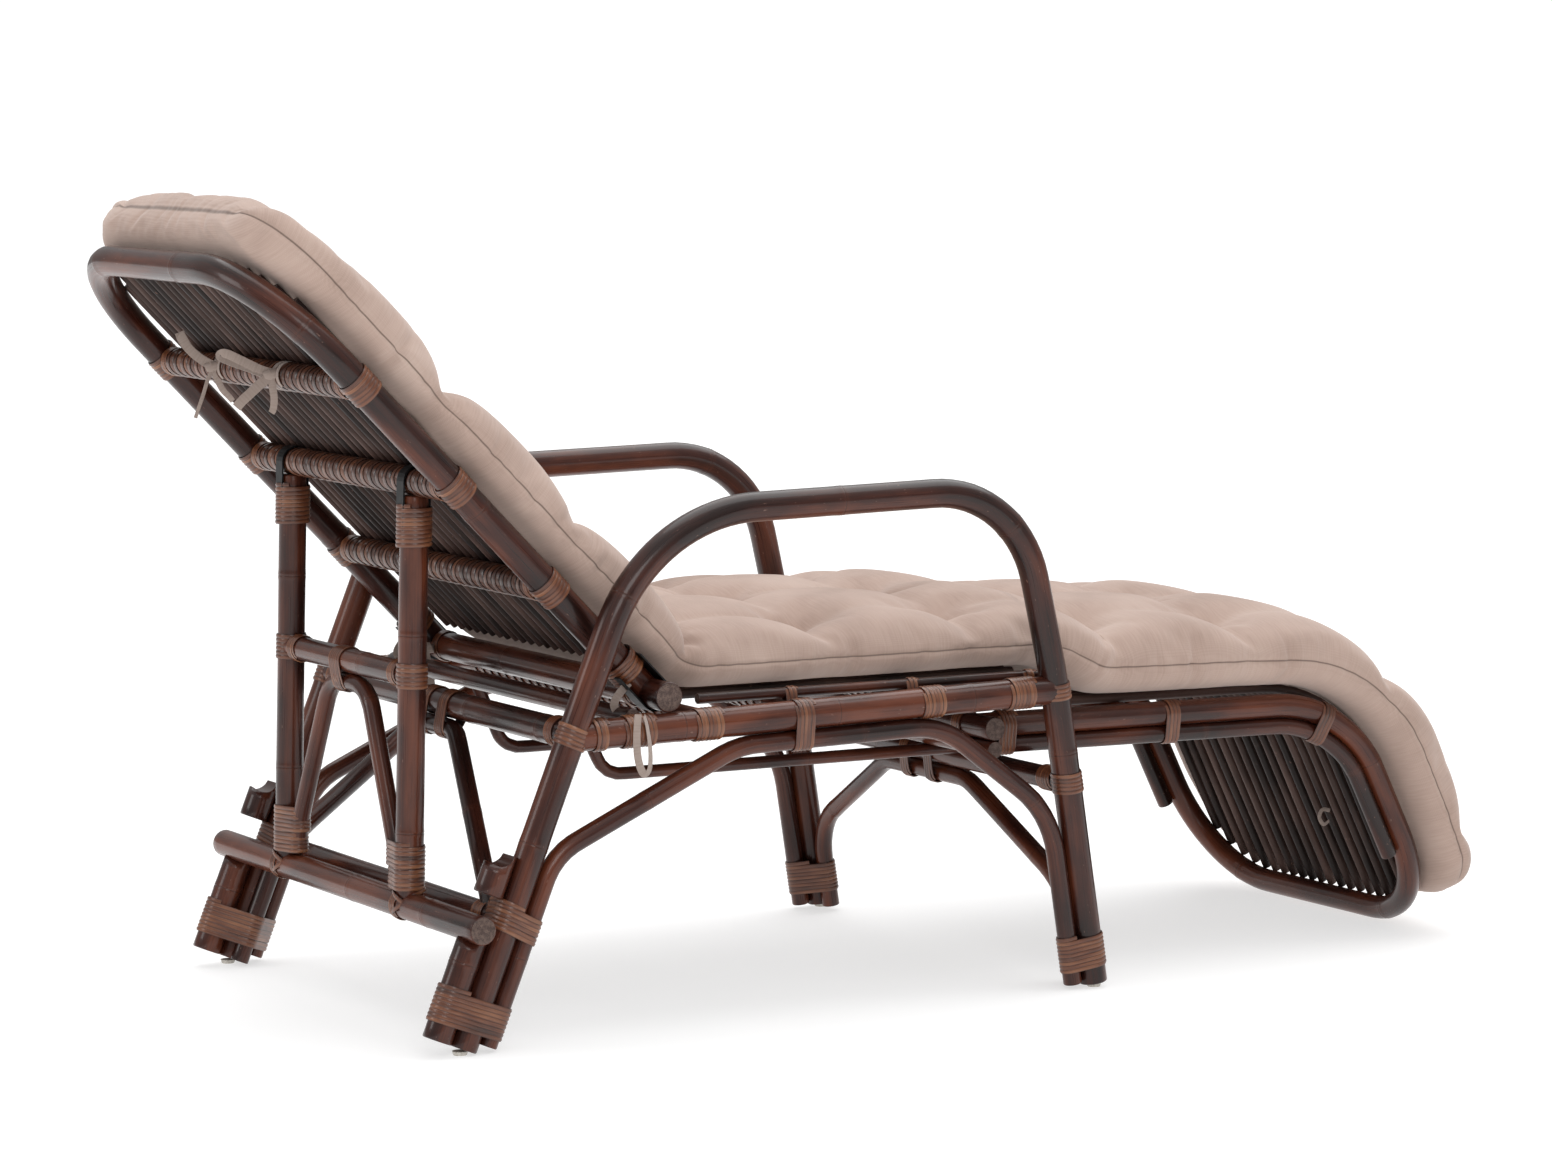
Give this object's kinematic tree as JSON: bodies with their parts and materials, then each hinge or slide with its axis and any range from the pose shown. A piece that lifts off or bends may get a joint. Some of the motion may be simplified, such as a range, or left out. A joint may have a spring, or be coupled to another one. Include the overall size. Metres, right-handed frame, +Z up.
{
  "type": "sun lounger",
  "caption": "Rattan sun lounger with bent-pole arms, a back that reclines on a notched prop frame, a slide-out footrest and a long tufted cushion.",
  "frame": {"origin": "middle of the lounger's footprint, on the floor", "axes": "+X towards the sitter's left, +Y towards the head end, +Z up"},
  "size_m": [0.758, 1.7912, 0.9894],
  "materials": {
    "cane": "glossy dark brown stain on rattan poles",
    "slats": "satin dark brown stain on thin rattan",
    "binding": "satin mid-brown rattan peel",
    "cloth": "matt taupe weave",
    "black_metal": "semi-gloss black",
    "glide": "matt pale plastic"
  },
  "bodies": {
    "base": {"arm_frame_left": "cane", "arm_frame_right": "cane", "side_rail_left": "cane", "side_rail_right": "cane", "side_brace_left": "cane", "side_brace_right": "cane", "seat_edge_rail_left": "cane", "seat_edge_rail_right": "cane", "rear_cross_rail": "cane", "rear_arch_brace": "cane", "rear_stretcher": "cane", "front_cross_rail": "cane", "front_arch_brace": "cane", "seat_rear_cross_pole": "cane", "seat_slat_panel": "slats", "footrest_runner_left": "cane", "footrest_runner_right": "cane", "notch_block_lower_left": "cane", "notch_block_lower_right": "cane", "notch_block_upper_left": "cane", "notch_block_upper_right": "cane", "foot_binding_rear_left": "binding", "foot_binding_rear_right": "binding", "foot_binding_front_left": "binding", "foot_binding_front_right": "binding", "foot_glide_rear_left": "glide", "foot_glide_rear_right": "glide", "foot_glide_front_left": "glide", "foot_glide_front_right": "glide", "seat_cushion": "cloth", "foot_cushion": "cloth", "cushion_hip_fold": "cloth"},
    "back": {"back_frame": "cane", "pivot_bar": "cane", "back_cross_bar_mid": "cane", "back_slat_panel": "slats", "hinge_strap_left": "black_metal", "hinge_strap_right": "black_metal", "back_cushion": "cloth"},
    "prop": {"prop_upright_left": "cane", "prop_upright_right": "cane", "prop_foot_bar": "cane", "prop_mid_bar": "cane", "prop_arch_brace": "cane", "prop_hook_left": "black_metal", "prop_hook_right": "black_metal"},
    "footrest": {"footrest_frame": "cane", "footrest_rear_bar_lower": "cane", "footrest_lower_pole_left": "cane", "footrest_lower_pole_right": "cane", "footrest_slat_panel": "slats"}
  },
  "joints": [
    {"name": "back_recline", "type": "hinge", "parent": "base", "child": "back", "pos_m": [0, 0.37688, 0.40258], "axis": [1, 0, 0], "range_deg": [0, 24], "deforming": ["cushion_hip_fold"]},
    {"name": "prop_swing", "type": "hinge", "parent": "back", "child": "prop", "pos_m": [0, 0.62767, 0.65778], "axis": [1, 0, 0], "range_deg": [-7.2, 0]},
    {"name": "footrest_slide", "type": "slide", "parent": "base", "child": "footrest", "axis": [0, 1, 0], "range_m": [0, 0.33], "deforming": ["foot_cushion"]}
  ],
  "couplings": [
    {"joint": "prop_swing", "follows": "back_recline", "ratio": -0.3}
  ]
}
